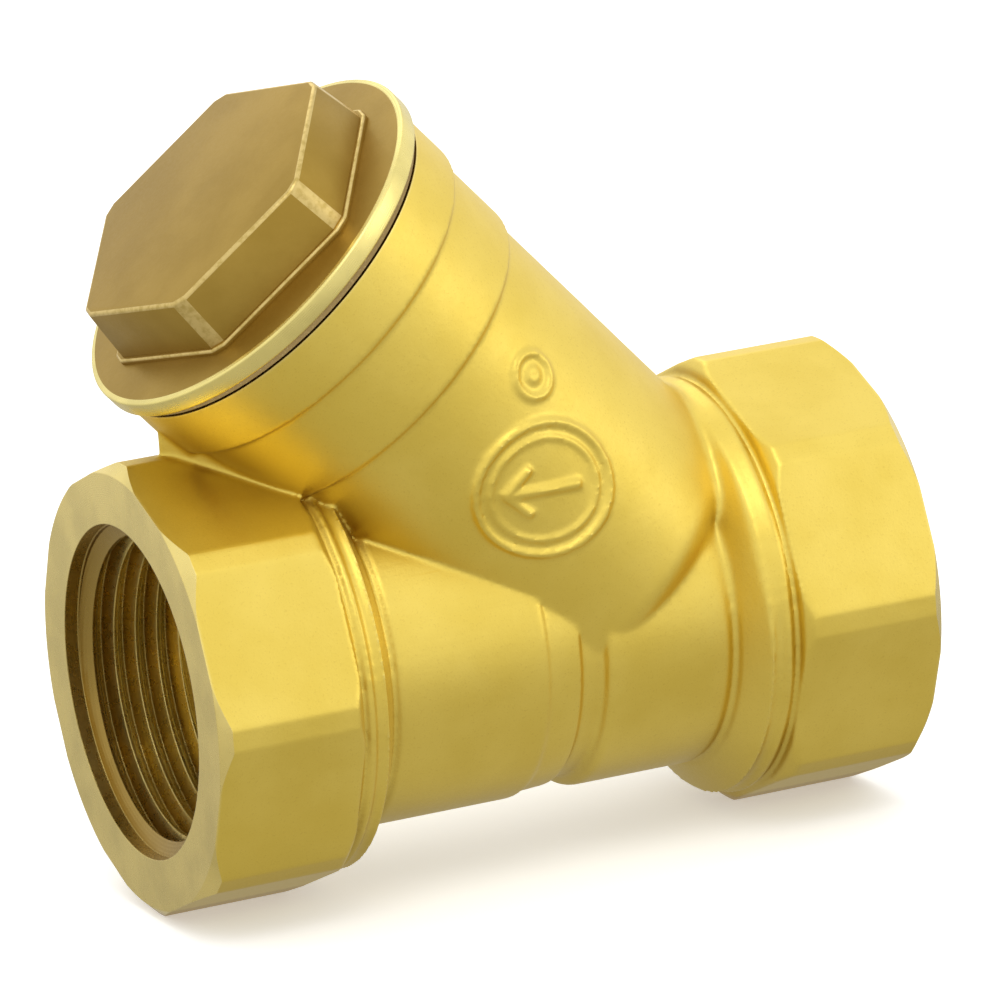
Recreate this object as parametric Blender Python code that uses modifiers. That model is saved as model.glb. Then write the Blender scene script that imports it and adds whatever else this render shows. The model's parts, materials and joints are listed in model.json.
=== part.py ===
"""Y strainer for DN25 pipe: a forged brass body with two G1 threaded ports and an inclined
branch, closed by a hexagon cap that holds a cylindrical stainless screen.

World frame: the run lies along X with the inlet at +X, the branch leans towards the outlet at -X
in the XZ plane, and the origin is under the middle of the run, at the height of its lowest edge.
"""

import math

import bmesh
import bpy
from mathutils import Matrix

MM = 0.001

# Run: face to face, octagonal ends, collars and barrels
RUN_LENGTH = 78.0 * MM
OCTAGON_FLATS = 43.2 * MM
OCTAGON_EDGE = 22.9 * MM
OCTAGON_LENGTH = 15.3 * MM
OCTAGON_CHAMFER = 1.1 * MM
COLLAR_RADIUS = 21.3 * MM
COLLAR_WIDTH = 1.4 * MM
CONE_WIDTH = 3.4 * MM
CONE_FOOT = 17.75 * MM
BARREL_RADIUS = 17.4 * MM
RING_RADIUS = 16.8 * MM
NECK_RADIUS = 16.2 * MM
NECK_LEFT = -1.5 * MM
NECK_MIDDLE = 1.8 * MM
NECK_RIGHT = 4.6 * MM
SHOULDER = 0.8 * MM

# Wedge-shaped web under the branch's outer end, over the outlet octagon
WEB_RADIUS = 9.0 * MM
WEB_X = -25.0 * MM
WEB_CLEAR = 1.2 * MM

# Port threads: G1, 11 turns per inch
PORT_PITCH = 2.309 * MM
PORT_MAJOR = 16.62 * MM
PORT_MINOR = 15.15 * MM
PORT_MOUTH = 16.8 * MM
PORT_RELIEF = 16.75 * MM
PORT_RELIEF_START = 0.6 * MM
PORT_RELIEF_STOP = 1.6 * MM
PORT_THREAD_START = 1.2 * MM
PORT_DEPTH = 13.6 * MM
PORT_TURNS = 6
PORT_FLANK = math.radians(27.5)
FLOW_RADIUS = 12.5 * MM

# Branch: its axis leaves the run's axis at BRANCH_X and rises towards the outlet
BRANCH_ANGLE = math.radians(48.5)
BRANCH_X = 14.8 * MM
BRANCH_RADIUS = 18.2 * MM
BRANCH_FOOT = 4.8 * MM
BRANCH_FOOT_ROUND = 3.0 * MM
BRANCH_STEP_1 = 39.5 * MM
BRANCH_STEP_2 = 48.4 * MM
BRANCH_STEP_RADIUS = 18.8 * MM
BRANCH_TOP_RADIUS = 19.5 * MM
BRANCH_TOP = 54.2 * MM

# Chamber in the branch and the seat of the screen
CHAMBER_RADIUS = 14.8 * MM
CHAMBER_FLOOR = 10.0 * MM
SEAT_RADIUS = 13.3 * MM
SEAT_HEIGHT = 8.8 * MM
SEAT_HOLE = 10.8 * MM
SEAT_UNDERSIDE = 6.0 * MM
INLET_END = 3.0 * MM
OUTLET_END = -1.6 * MM

# Cap thread: M33 x 2
CAP_PITCH = 2.0 * MM
CAP_FLANK = math.radians(30.0)
CAP_MALE_CREST = 16.35 * MM
CAP_MALE_ROOT = 15.2 * MM
CAP_MALE_FLAT = 0.10 * MM
CAP_FEMALE_CREST = 16.55 * MM
CAP_FEMALE_MINOR = 15.42 * MM
CAP_FEMALE_FLAT = 0.20 * MM
FEMALE_START = 43.1 * MM
FEMALE_TURNS = 6
SOCKET_MOUTH = 17.15 * MM
SOCKET_RELIEF = 16.65 * MM
SOCKET_RELIEF_LOW = 42.4 * MM
SOCKET_RELIEF_HIGH = 43.6 * MM
MALE_TURNS = 4

# Cap: skirt, flange and hexagon
SKIRT_END = 44.0 * MM
FLANGE_BOTTOM = 55.25 * MM
FLANGE_TOP = 57.5 * MM
FLANGE_RADIUS = 20.3 * MM
HEX_TOP = 63.9 * MM
HEX_BASE_RADIUS = 17.1 * MM
HEX_TOP_RADIUS = 16.1 * MM
HEX_TURN = math.radians(-11.8)
HEX_EDGE_TRIM = 0.475 * MM
HEX_TOP_BEVEL = 0.35 * MM
RECESS_RADIUS = 12.95 * MM
RECESS_TOP = 54.0 * MM

# Gasket, screen and its two end rings
GASKET_INNER = 16.7 * MM
GASKET_OUTER = 19.2 * MM
GASKET_THICKNESS = 0.75 * MM
SCREEN_RADIUS = 12.2 * MM
SCREEN_WALL = 0.4 * MM
SCREEN_LOW = 9.3 * MM
SCREEN_HIGH = 53.5 * MM
HOLE_RADIUS = 1.7 * MM
HOLE_ROWS = 7
HOLES_PER_ROW = 10
LINING_WALL = 0.2 * MM
RING_WALL_OUTER = 0.45 * MM
RING_HEIGHT = 3.0 * MM
GAP = 0.15 * MM

SEGMENTS = 40
SCREEN_SEGMENTS = 30
THREAD_SEGMENTS = 24
HOLE_SIDES = 6
OVERSHOOT = 1.0 * MM
WIDE = 60.0 * MM

HALF_RUN = RUN_LENGTH / 2
RUN_HEIGHT = OCTAGON_EDGE

BRASS = (0.62, 0.44, 0.13, 1.0)
BRONZE = (0.46, 0.29, 0.10, 1.0)
STEEL = (0.62, 0.62, 0.60, 1.0)
FIBRE = (0.34, 0.24, 0.08, 1.0)


def run_frame():
    """Local Z along the run towards the inlet, origin in the middle of the run."""
    return Matrix.Translation((0, 0, RUN_HEIGHT)) @ Matrix.Rotation(math.pi / 2, 4, "Y")


def outlet_frame():
    """The run's frame turned half a turn, so that local Z points to the outlet."""
    return Matrix.Translation((0, 0, RUN_HEIGHT)) @ Matrix.Rotation(-math.pi / 2, 4, "Y")


def branch_frame():
    """Local Z along the branch, outwards, with the origin on the run's axis."""
    lean = math.pi / 2 - BRANCH_ANGLE
    return Matrix.Translation((BRANCH_X, 0, RUN_HEIGHT)) @ Matrix.Rotation(-lean, 4, "Y")


def clear_scene():
    for obj in list(bpy.data.objects):
        bpy.data.objects.remove(obj, do_unlink=True)


def new_collection(name):
    collection = bpy.data.collections.new(name)
    bpy.context.scene.collection.children.link(collection)
    return collection


def material(name, colour, roughness, metallic):
    made = bpy.data.materials.new(name)
    made.use_nodes = True
    shader = made.node_tree.nodes["Principled BSDF"]
    shader.inputs["Base Color"].default_value = colour
    shader.inputs["Roughness"].default_value = roughness
    shader.inputs["Metallic"].default_value = metallic
    return made


def link(name, mesh, frame, collection):
    obj = bpy.data.objects.new(name, mesh)
    obj.matrix_world = frame
    collection.objects.link(obj)
    return obj


def bake(obj):
    """Replace the object's mesh by its evaluated one and drop its modifiers."""
    graph = bpy.context.evaluated_depsgraph_get()
    mesh = bpy.data.meshes.new_from_object(obj.evaluated_get(graph))
    obj.modifiers.clear()
    obj.data = mesh
    return obj


def round_shading(obj):
    obj.data.shade_smooth()
    obj.data.set_sharp_from_angle(angle=math.radians(35))
    return obj


def arc(centre, radius, start, end, steps):
    """Points (radius from the axis, height) on a circular arc, angles in degrees."""
    points = []
    for i in range(steps + 1):
        angle = math.radians(start + (end - start) * i / steps)
        points.append((centre[0] + radius * math.cos(angle), centre[1] + radius * math.sin(angle)))
    return points


def profile_mesh(name, points, closed):
    mesh = bpy.data.meshes.new(name)
    edges = [(i, i + 1) for i in range(len(points) - 1)]
    if closed:
        edges.append((len(points) - 1, 0))
    mesh.from_pydata([(r, 0, z) for r, z in points], edges, [])
    return mesh


def turned(name, points, frame, collection, segments=SEGMENTS):
    """A solid of revolution; a profile that starts off the axis is a closed loop."""
    closed = points[0][0] > 0
    obj = link(name, profile_mesh(name, points, closed), frame, collection)
    screw = obj.modifiers.new("turn", "SCREW")
    screw.steps = segments
    screw.render_steps = segments
    screw.use_merge_vertices = True
    screw.merge_threshold = 0.00001
    return round_shading(bake(obj))


def ridge(name, crest, root, flat, flank, pitch, turns, start, frame, collection):
    """One helical thread ridge as a closed solid, its base at root and its top at crest."""
    base = flat + (crest - root) * math.tan(flank)
    points = [(root, base), (crest, flat), (crest, -flat), (root, -base)]
    place = frame @ Matrix.Translation((0, 0, start))
    obj = link(name, profile_mesh(name, points, True), place, collection)
    screw = obj.modifiers.new("helix", "SCREW")
    screw.steps = THREAD_SEGMENTS
    screw.render_steps = THREAD_SEGMENTS
    screw.screw_offset = pitch
    screw.iterations = turns
    bake(obj)
    helix = bmesh.new()
    helix.from_mesh(obj.data)
    ends = [edge for edge in helix.edges if edge.is_boundary]
    bmesh.ops.holes_fill(helix, edges=ends, sides=0)
    bmesh.ops.recalc_face_normals(helix, faces=helix.faces)
    helix.to_mesh(obj.data)
    helix.free()
    return obj


def polygon(sides, radius, turn, trim):
    """Corner points of a regular polygon, each corner cut square to its radius at the depth trim."""
    half_cut = trim / math.tan(math.pi / sides)
    points = []
    for i in range(sides):
        angle = turn + 2 * math.pi * i / sides
        out = radius - trim
        for side in (-half_cut, half_cut) if trim else (0,):
            x = out * math.cos(angle) - side * math.sin(angle)
            y = out * math.sin(angle) + side * math.cos(angle)
            points.append((x, y))
    return points


def prism(name, sides, low_radius, high_radius, low, high, turn, frame, collection, trim=0):
    """A prism or a drafted prism between two heights, with one corner at the angle turn."""
    solid = bmesh.new()
    rings = []
    for radius, height in ((low_radius, low), (high_radius, high)):
        corners = polygon(sides, radius, turn, trim)
        rings.append([solid.verts.new((x, y, height)) for x, y in corners])
    count = len(rings[0])
    for i in range(count):
        following = (i + 1) % count
        solid.faces.new((rings[0][i], rings[0][following], rings[1][following], rings[1][i]))
    solid.faces.new(reversed(rings[0]))
    solid.faces.new(rings[1])
    mesh = bpy.data.meshes.new(name)
    solid.to_mesh(mesh)
    solid.free()
    return link(name, mesh, frame, collection)


def combine(target, other, operation):
    """Join, cut or intersect target with another solid, which stays as a hidden guide."""
    step = target.modifiers.new(other.name, "BOOLEAN")
    step.operation = operation
    step.solver = "EXACT"
    step.object = other
    other.hide_render = True
    other.display_type = "WIRE"
    return target


def octagon_end(name, frame, cutters):
    """One octagonal end with flat-trimmed edges and a turned chamfer on its outer face."""
    corner = OCTAGON_FLATS / 2 / math.cos(math.pi / 8)
    inner = HALF_RUN - OCTAGON_LENGTH
    trim = corner - OCTAGON_EDGE
    end = prism(name, 8, corner, corner, inner, HALF_RUN, 0, frame, cutters, trim)
    top = HALF_RUN + OVERSHOOT
    chamfer_start = HALF_RUN - OCTAGON_CHAMFER
    outline = [
        (0, top),
        (OCTAGON_EDGE - OCTAGON_CHAMFER - OVERSHOOT, top),
        (OCTAGON_EDGE + OVERSHOOT, chamfer_start - OVERSHOOT),
        (OCTAGON_EDGE + OVERSHOOT, inner - OVERSHOOT),
        (0, inner - OVERSHOOT),
    ]
    envelope = turned(name + "_chamfer", outline, frame, cutters)
    combine(end, envelope, "INTERSECT")
    return bake(end)


def run_outline():
    """Outer side of the run between the octagons, from the inlet end to the outlet end."""
    inside = HALF_RUN - OCTAGON_LENGTH / 2
    collar_end = HALF_RUN - OCTAGON_LENGTH - COLLAR_WIDTH
    cone_end = collar_end - CONE_WIDTH
    flank = [(0, inside), (COLLAR_RADIUS, inside), (COLLAR_RADIUS, collar_end), (CONE_FOOT, cone_end)]
    flank += [(BARREL_RADIUS, cone_end - (CONE_FOOT - BARREL_RADIUS))]
    round_centre = BARREL_RADIUS - SHOULDER
    step = RING_RADIUS - NECK_RADIUS
    points = list(flank)
    points += arc((round_centre, NECK_RIGHT + SHOULDER), SHOULDER, 0, -80, 4)
    points += [(NECK_RADIUS, NECK_RIGHT - 0.2 * MM), (NECK_RADIUS, NECK_MIDDLE + step)]
    points += [(RING_RADIUS, NECK_MIDDLE)]
    points += arc((round_centre, NECK_LEFT - SHOULDER), SHOULDER, 60, 0, 3)
    points += [(radius, -height) for radius, height in reversed(flank)]
    return points


def web(cutters):
    """Upright wedge between the outlet octagon and the branch, one corner towards the outlet."""
    frame = Matrix.Translation((WEB_X, 0, RUN_HEIGHT))
    filler = prism("web", 4, WEB_RADIUS, WEB_RADIUS, 0, BRANCH_TOP, 0, frame, cutters)
    low = BRANCH_TOP - WEB_CLEAR
    above = prism("above_web", 4, WIDE, WIDE, low, low + WIDE, 0, branch_frame(), cutters)
    combine(filler, above, "DIFFERENCE")
    return bake(filler)


def branch_outline():
    """Outer side of the branch from its machined top down to its rounded foot."""
    step = 0.4 * MM
    points = [(0, BRANCH_TOP), (BRANCH_TOP_RADIUS - step, BRANCH_TOP)]
    points += [(BRANCH_TOP_RADIUS, BRANCH_TOP - step), (BRANCH_TOP_RADIUS, BRANCH_STEP_2)]
    points += [(BRANCH_STEP_RADIUS, BRANCH_STEP_2 - step), (BRANCH_STEP_RADIUS, BRANCH_STEP_1)]
    points += [(BRANCH_RADIUS, BRANCH_STEP_1 - step)]
    foot = (BRANCH_RADIUS - BRANCH_FOOT_ROUND, BRANCH_FOOT + BRANCH_FOOT_ROUND)
    points += arc(foot, BRANCH_FOOT_ROUND, 0, -90, 6)
    points += [(0, BRANCH_FOOT)]
    return points


def port_bore(name, bore_end, frame, cutters):
    """Threaded socket, relief groove and flow bore of one port, down to bore_end."""
    face = HALF_RUN
    shoulder = face - PORT_DEPTH
    relief_top = shoulder + PORT_RELIEF_STOP
    points = [(0, face + OVERSHOOT), (PORT_MOUTH + OVERSHOOT, face + OVERSHOOT)]
    points += [(PORT_MINOR, face - (PORT_MOUTH - PORT_MINOR)), (PORT_MINOR, relief_top + 0.4 * MM)]
    points += [(PORT_RELIEF, relief_top), (PORT_RELIEF, shoulder + PORT_RELIEF_START)]
    points += [(FLOW_RADIUS, shoulder), (FLOW_RADIUS, bore_end + MM)]
    points += [(FLOW_RADIUS - MM, bore_end), (0, bore_end)]
    return turned(name, points, frame, cutters)


def port_thread(name, frame, cutters):
    start = HALF_RUN - PORT_DEPTH + PORT_THREAD_START
    flat = PORT_PITCH / 12
    root = PORT_MINOR - 0.15 * MM
    return ridge(
        name, PORT_MAJOR, root, flat, PORT_FLANK, PORT_PITCH, PORT_TURNS, start, frame, cutters
    )


def keep_below_seat(bore, cutters):
    """Trim the inlet bore at the underside of the seat plate."""
    low = SEAT_UNDERSIDE
    above = prism("above_seat", 4, WIDE, WIDE, low, low + WIDE, 0, branch_frame(), cutters)
    combine(bore, above, "DIFFERENCE")
    return bake(bore)


def chamber(cutters):
    """Chamber, relief groove and seat, turned about the branch's axis."""
    points = [(0, BRANCH_TOP + OVERSHOOT), (SOCKET_MOUTH + OVERSHOOT, BRANCH_TOP + OVERSHOOT)]
    points += [(CAP_FEMALE_MINOR, BRANCH_TOP - (SOCKET_MOUTH - CAP_FEMALE_MINOR))]
    points += [(CAP_FEMALE_MINOR, SOCKET_RELIEF_HIGH + 0.3 * MM), (SOCKET_RELIEF, SOCKET_RELIEF_HIGH)]
    points += [(SOCKET_RELIEF, SOCKET_RELIEF_LOW), (CHAMBER_RADIUS, SOCKET_RELIEF_LOW - 0.5 * MM)]
    points += [(CHAMBER_RADIUS, CHAMBER_FLOOR), (SEAT_RADIUS, CHAMBER_FLOOR)]
    points += [(SEAT_RADIUS, SEAT_HEIGHT), (SEAT_HOLE, SEAT_HEIGHT)]
    points += [(SEAT_HOLE, SEAT_UNDERSIDE / 2), (0, SEAT_UNDERSIDE / 2)]
    return turned("chamber", points, branch_frame(), cutters)


def make_body(parts, cutters):
    body = turned("body", run_outline(), run_frame(), parts)
    body.data.materials.append(material("forged_brass", BRASS, 0.38, 1.0))
    combine(body, octagon_end("inlet_octagon", run_frame(), cutters), "UNION")
    combine(body, octagon_end("outlet_octagon", outlet_frame(), cutters), "UNION")
    combine(body, web(cutters), "UNION")
    combine(body, turned("branch", branch_outline(), branch_frame(), cutters), "UNION")
    inlet = port_bore("inlet_bore", INLET_END, run_frame(), cutters)
    combine(body, keep_below_seat(inlet, cutters), "DIFFERENCE")
    combine(body, port_bore("outlet_bore", -OUTLET_END, outlet_frame(), cutters), "DIFFERENCE")
    combine(body, port_thread("inlet_thread", run_frame(), cutters), "DIFFERENCE")
    combine(body, port_thread("outlet_thread", outlet_frame(), cutters), "DIFFERENCE")
    combine(body, chamber(cutters), "DIFFERENCE")
    cap_thread = ridge(
        "cap_socket_thread", CAP_FEMALE_CREST, CAP_FEMALE_MINOR - 0.07 * MM, CAP_FEMALE_FLAT,
        CAP_FLANK, CAP_PITCH, FEMALE_TURNS, FEMALE_START, branch_frame(), cutters,
    )
    combine(body, cap_thread, "DIFFERENCE")
    return body


def cap_outline():
    """Flange, undercut and hollow skirt of the cap, down the outside and up the recess."""
    edge = 0.3 * MM
    points = [(0, FLANGE_TOP), (FLANGE_RADIUS - edge, FLANGE_TOP)]
    points += [(FLANGE_RADIUS, FLANGE_TOP - edge), (FLANGE_RADIUS, FLANGE_BOTTOM + edge)]
    points += [(FLANGE_RADIUS - edge, FLANGE_BOTTOM), (CAP_MALE_ROOT, FLANGE_BOTTOM)]
    points += [(CAP_MALE_ROOT, SKIRT_END + 0.6 * MM), (CAP_MALE_ROOT - 0.6 * MM, SKIRT_END)]
    points += [(RECESS_RADIUS, SKIRT_END), (RECESS_RADIUS, RECESS_TOP), (0, RECESS_TOP)]
    return points


def make_cap(parts, cutters):
    """The plug: hollow threaded skirt, round flange and drafted hexagon."""
    cap = turned("cap", cap_outline(), branch_frame(), parts)
    cap.data.materials.append(material("cap_brass", BRONZE, 0.42, 1.0))
    low = FLANGE_TOP - 0.5 * MM
    hexagon = prism(
        "hexagon", 6, HEX_BASE_RADIUS, HEX_TOP_RADIUS, low, HEX_TOP, HEX_TURN,
        branch_frame(), cutters, HEX_EDGE_TRIM,
    )
    bevel = hexagon.modifiers.new("top_edges", "BEVEL")
    bevel.width = HEX_TOP_BEVEL
    bevel.segments = 2
    bevel.angle_limit = math.radians(70)
    combine(cap, bake(hexagon), "UNION")
    start = FEMALE_START + CAP_PITCH
    thread = ridge(
        "cap_thread", CAP_MALE_CREST, CAP_MALE_ROOT - 0.2 * MM, CAP_MALE_FLAT,
        CAP_FLANK, CAP_PITCH, MALE_TURNS, start, branch_frame(), cutters,
    )
    combine(cap, thread, "UNION")
    return cap


def ring_outline(inner, outer, low, high, edge):
    """Closed outline of a ring with bevelled outer edges."""
    return [
        (inner, high),
        (outer - edge, high),
        (outer, high - edge),
        (outer, low + edge),
        (outer - edge, low),
        (inner, low),
    ]


def make_gasket(parts):
    low = BRANCH_TOP + GAP
    outline = ring_outline(GASKET_INNER, GASKET_OUTER, low, low + GASKET_THICKNESS, 0.1 * MM)
    gasket = turned("gasket", outline, branch_frame(), parts)
    gasket.data.materials.append(material("gasket_fibre", FIBRE, 0.7, 0.0))
    return gasket


def hole_pins(cutters):
    """Radial pins through the screen in staggered rows, as one guide object."""
    pins = bmesh.new()
    rings_clear = RING_HEIGHT + 1.2 * MM + HOLE_RADIUS
    low = SCREEN_LOW + rings_clear
    high = SCREEN_HIGH - rings_clear
    for row in range(HOLE_ROWS):
        height = low + (high - low) * row / (HOLE_ROWS - 1)
        for column in range(HOLES_PER_ROW):
            turn = 2 * math.pi * (column + 0.5 * (row % 2)) / HOLES_PER_ROW
            place = Matrix.Translation((0, 0, height)) @ Matrix.Rotation(turn, 4, "Z")
            place = place @ Matrix.Translation((SCREEN_RADIUS, 0, 0))
            place = place @ Matrix.Rotation(math.pi / 2, 4, "Y")
            bmesh.ops.create_cone(
                pins, cap_ends=True, segments=HOLE_SIDES, radius1=HOLE_RADIUS, radius2=HOLE_RADIUS,
                depth=3.0 * MM, matrix=place,
            )
    mesh = bpy.data.meshes.new("hole_pins")
    pins.to_mesh(mesh)
    pins.free()
    return link("hole_pins", mesh, branch_frame(), cutters)


def make_screen(parts, cutters):
    """Perforated support tube, fine lining inside it, and the two end rings."""
    steel = material("screen_steel", STEEL, 0.35, 1.0)
    inner = SCREEN_RADIUS - SCREEN_WALL
    outline = ring_outline(inner, SCREEN_RADIUS, SCREEN_LOW, SCREEN_HIGH, 0.05 * MM)
    tube = turned("screen_tube", outline, branch_frame(), parts, SCREEN_SEGMENTS)
    tube.data.materials.append(steel)
    combine(tube, hole_pins(cutters), "DIFFERENCE")

    lining_outer = inner - GAP
    low = SCREEN_LOW + 0.2 * MM
    high = SCREEN_HIGH - 0.2 * MM
    outline = ring_outline(lining_outer - LINING_WALL, lining_outer, low, high, 0.03 * MM)
    lining = turned("screen_mesh", outline, branch_frame(), parts, SCREEN_SEGMENTS)
    lining.data.materials.append(material("mesh_steel", STEEL, 0.5, 1.0))

    ring_inner = SCREEN_RADIUS + GAP
    ring_outer = ring_inner + RING_WALL_OUTER
    for name, low in (
        ("screen_ring_lower", SCREEN_LOW - 0.3 * MM),
        ("screen_ring_upper", SCREEN_HIGH + 0.3 * MM - RING_HEIGHT),
    ):
        outline = ring_outline(ring_inner, ring_outer, low, low + RING_HEIGHT, 0.1 * MM)
        ring = turned(name, outline, branch_frame(), parts, SCREEN_SEGMENTS)
        ring.data.materials.append(material(name + "_steel", STEEL, 0.3, 1.0))


def build():
    clear_scene()
    parts = new_collection("y_strainer")
    cutters = new_collection("cutters")
    make_body(parts, cutters)
    make_cap(parts, cutters)
    make_gasket(parts)
    make_screen(parts, cutters)


build()
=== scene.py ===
"""Looks of the Y strainer: a softly forged brass body with machined threads, a browner cap, a
brown fibre gasket and a stainless screen, on a pale floor in soft studio light. Lengths are in
metres."""

import json
import math

import bmesh
import bpy
from mathutils import Matrix, Vector

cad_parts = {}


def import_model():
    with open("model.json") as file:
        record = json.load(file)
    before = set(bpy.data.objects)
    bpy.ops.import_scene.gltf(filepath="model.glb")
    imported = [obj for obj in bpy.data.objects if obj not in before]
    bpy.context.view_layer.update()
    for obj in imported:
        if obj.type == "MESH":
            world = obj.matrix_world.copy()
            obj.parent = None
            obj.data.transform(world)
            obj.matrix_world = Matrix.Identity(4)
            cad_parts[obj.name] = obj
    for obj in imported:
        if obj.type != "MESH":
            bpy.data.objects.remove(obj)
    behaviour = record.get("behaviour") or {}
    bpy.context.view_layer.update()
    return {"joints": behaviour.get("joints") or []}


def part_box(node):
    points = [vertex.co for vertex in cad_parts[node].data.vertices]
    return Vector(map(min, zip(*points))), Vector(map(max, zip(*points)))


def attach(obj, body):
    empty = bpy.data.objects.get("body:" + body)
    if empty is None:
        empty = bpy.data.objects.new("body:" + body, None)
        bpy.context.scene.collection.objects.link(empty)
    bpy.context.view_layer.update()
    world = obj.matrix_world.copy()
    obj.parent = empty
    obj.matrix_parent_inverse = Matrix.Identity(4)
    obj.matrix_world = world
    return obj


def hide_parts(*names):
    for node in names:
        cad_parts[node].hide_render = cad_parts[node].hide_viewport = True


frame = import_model()

MM = 0.001
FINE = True
TURN_SEGMENTS = 160 if FINE else 80
THREAD_SEGMENTS = 72 if FINE else 36
VOXEL = (0.26 if FINE else 0.5) * MM
FORGING_FACES = 140000

# Run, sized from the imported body's box
BODY_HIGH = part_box("body")[1]
HALF_RUN = BODY_HIGH.x
RUN_HEIGHT = BODY_HIGH.y
OCTAGON_FLATS = 43.2 * MM
OCTAGON_LENGTH = 15.3 * MM
OCTAGON_CHAMFER = 1.1 * MM
COLLAR_RADIUS = 21.3 * MM
COLLAR_WIDTH = 1.4 * MM
GROOVE_RADIUS = 20.9 * MM
GROOVE_WIDTH = 0.8 * MM
GROOVE_SLOPE = 0.3 * MM
GROOVE_WALL = 0.1 * MM
VALLEY_RADIUS = 20.75 * MM
VALLEY_WIDTH = 1.2 * MM
CONE_TOP = 21.05 * MM
UNDERCUT_RADIUS = 17.05 * MM
UNDERCUT_WIDTH = 0.8 * MM
CONE_WIDTH = 3.4 * MM
CONE_FOOT = 17.8 * MM
BARREL_RADIUS = 17.4 * MM
RING_RADIUS = 16.8 * MM
NECK_RADIUS = 16.2 * MM
NECK_LEFT = -1.5 * MM
NECK_MIDDLE = 1.8 * MM
NECK_RIGHT = 4.6 * MM
NECK_RIGHT_SLOPE = 0.2 * MM
NECK_MIDDLE_SLOPE = 0.4 * MM
SHOULDER = 0.8 * MM
TURN_OFF = 0.9 * MM
FORGING_SPARE = 0.6 * MM
WIDE = 60.0 * MM

# Web between the outlet octagon and the branch
WEB_RADIUS = 9.0 * MM
WEB_X = -25.0 * MM
WEB_CLEAR = 1.2 * MM

# Port threads: G1
PORT_PITCH = 2.309 * MM
PORT_MAJOR = 16.62 * MM
PORT_MINOR = 15.15 * MM
PORT_MOUTH = 16.7 * MM
PORT_LEAD_IN = 1.4 * MM
PORT_LEAD_SLOPE = 0.6 * MM
PORT_THREAD_START = 2.487 * MM
PORT_THREAD_BITE = 0.15 * MM
PORT_RELIEF = 16.75 * MM
PORT_RELIEF_START = 0.6 * MM
PORT_RELIEF_STOP = 1.6 * MM
PORT_RELIEF_SLOPE = 0.4 * MM
PORT_DEPTH = 13.6 * MM
PORT_TURNS = 6
PORT_FLAT = PORT_PITCH / 12
PORT_FLANK = math.radians(27.5)
FLOW_RADIUS = 12.5 * MM
INLET_END = 3.0 * MM
OUTLET_END = -1.6 * MM

# Branch: its axis is the cap's hinge axis
CAP_HINGE = next(joint for joint in frame["joints"] if joint["name"] == "cap_unscrew")
BRANCH_AXIS = Vector(CAP_HINGE["axis"]).normalized()
BRANCH_ANGLE = math.atan2(BRANCH_AXIS.z, -BRANCH_AXIS.x)
BRANCH_X = 14.8 * MM
BRANCH_RADIUS = 18.2 * MM
BRANCH_FOOT = 4.8 * MM
BRANCH_FOOT_ROUND = 3.0 * MM
BRANCH_STEP_1 = 39.5 * MM
BRANCH_STEP_2 = 48.4 * MM
BRANCH_STEP_RADIUS = 18.8 * MM
BRANCH_STEP_SLOPE = 0.35 * MM
BRANCH_TOP_RADIUS = 19.5 * MM
BRANCH_TOP = 54.2 * MM

# Soft blend between the branch's inlet side and the run
FOOT_START = 10.0 * MM
FOOT_FULL = 15.0 * MM
FOOT_END = 23.2 * MM
FOOT_RISE = 7.0 * MM
FOOT_PASSES = 80

# Chamber and screen seat
CHAMBER_RADIUS = 14.8 * MM
CHAMBER_FLOOR = 10.0 * MM
SEAT_RADIUS = 13.3 * MM
SEAT_HEIGHT = 8.8 * MM
SEAT_HOLE = 10.8 * MM
SEAT_UNDERSIDE = 6.0 * MM
SEAT_HOLE_END = 3.0 * MM

# Cap thread: M33 x 2
CAP_PITCH = 2.0 * MM
CAP_FLANK = math.radians(30.0)
CAP_MALE_CREST = 16.35 * MM
CAP_MALE_ROOT = 15.2 * MM
CAP_MALE_FLAT = 0.10 * MM
CAP_FEMALE_CREST = 16.55 * MM
CAP_FEMALE_MINOR = 15.42 * MM
CAP_FEMALE_FLAT = 0.20 * MM
FEMALE_START = 43.1 * MM
FEMALE_TURNS = 6
MALE_TURNS = 4
SOCKET_BITE = 0.07 * MM
PLUG_BITE = 0.2 * MM
SOCKET_MOUTH = 0.6 * MM
SOCKET_RELIEF = 0.1 * MM
RELIEF_BELOW = 0.7 * MM
RELIEF_LOW = 1.2 * MM
RELIEF_HIGH = 1.5 * MM
RELIEF_SLOPE = 0.5 * MM

# Cap
SKIRT_END = 44.0 * MM
FLANGE_BOTTOM = 55.25 * MM
RIM_TOP = 57.2 * MM
FLANGE_TOP = 57.5 * MM
FLANGE_RADIUS = 20.3 * MM
FLANGE_EDGE = 0.25 * MM
FLANGE_SLOPE_END = 0.6 * MM
FLANGE_SLOPE_LIFT = 0.05 * MM
HEX_TOP = 63.9 * MM
HEX_BASE_RADIUS = 17.0 * MM
HEX_TOP_RADIUS = 16.1 * MM
HEX_SUNK = 0.5 * MM
HEX_PLINTH_RADIUS = 17.4 * MM
HEX_PLINTH_HEIGHT = 0.55 * MM
HEX_PLINTH_BEVEL = 0.25 * MM
HEX_TURN = math.radians(-11.8)
HEX_EDGE_TRIM = 0.475 * MM
HEX_TOP_BEVEL = 0.34 * MM
NARROW_FACE = 20 * MM * MM
RECESS_RADIUS = 12.95 * MM
RECESS_TOP = 54.0 * MM
SKIRT_CHAMFER = 0.6 * MM
RECESS_CHAMFER = 0.3 * MM

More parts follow.
